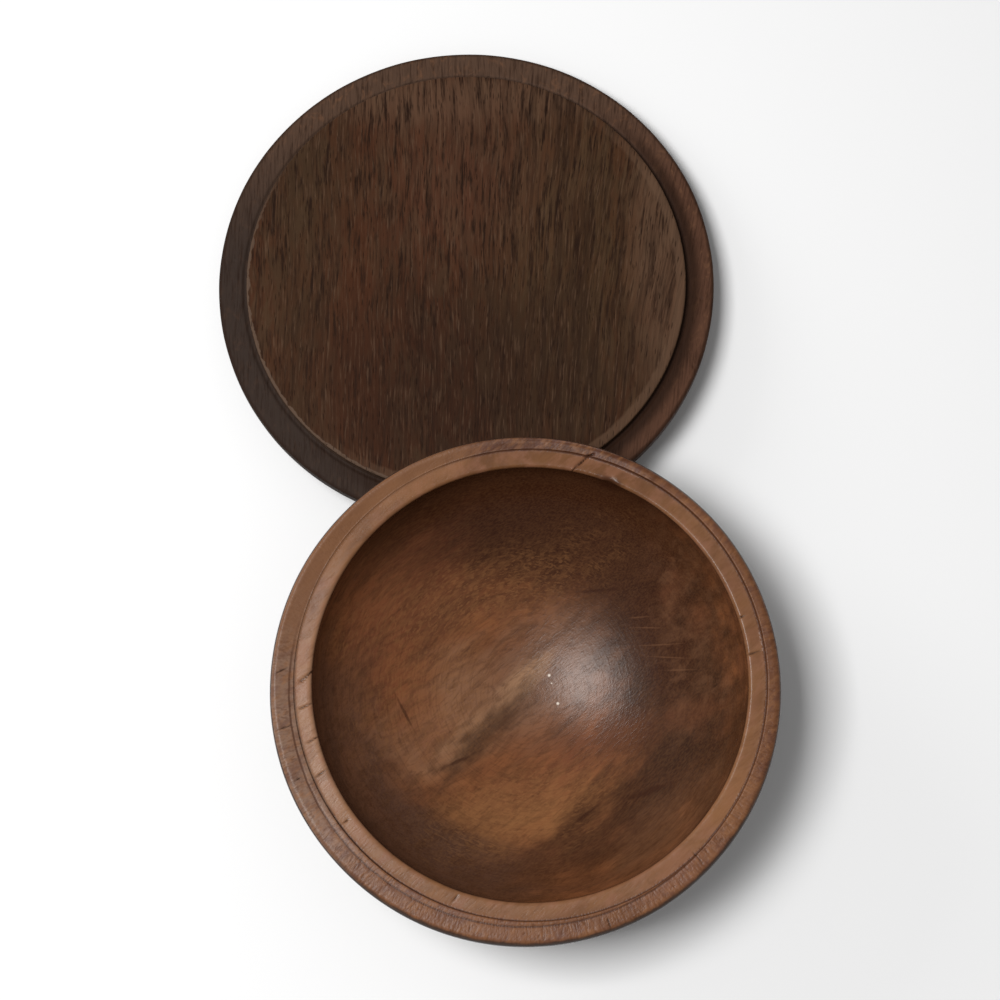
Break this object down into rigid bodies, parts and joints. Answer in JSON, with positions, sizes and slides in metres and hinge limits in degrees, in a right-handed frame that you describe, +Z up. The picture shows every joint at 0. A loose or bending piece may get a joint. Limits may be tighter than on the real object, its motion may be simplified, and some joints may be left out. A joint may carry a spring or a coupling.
{
  "type": "lidded wooden bowl",
  "caption": "Shallow turned wooden bowl with flared sides and a rebated rim, and its separate disc lid with a raised plug, lying underside up against the bowl.",
  "frame": {"origin": "middle of the bowl's flat foot, on the table", "axes": "+Z up, +Y from the bowl towards the lid that lies behind it, +X to the right as seen from the bowl's front"},
  "size_m": [0.217, 0.3973, 0.066],
  "materials": {
    "bowl_wood": "satin",
    "lid_wood": "satin"
  },
  "bodies": {
    "bowl": {"bowl": "bowl_wood"},
    "lid": {"lid": "lid_wood"}
  },
  "joints": [
    {"name": "lid_lift", "type": "slide", "parent": "bowl", "child": "lid", "axis": [0, 0.866, 0.5], "range_m": [0, 0.16]}
  ]
}
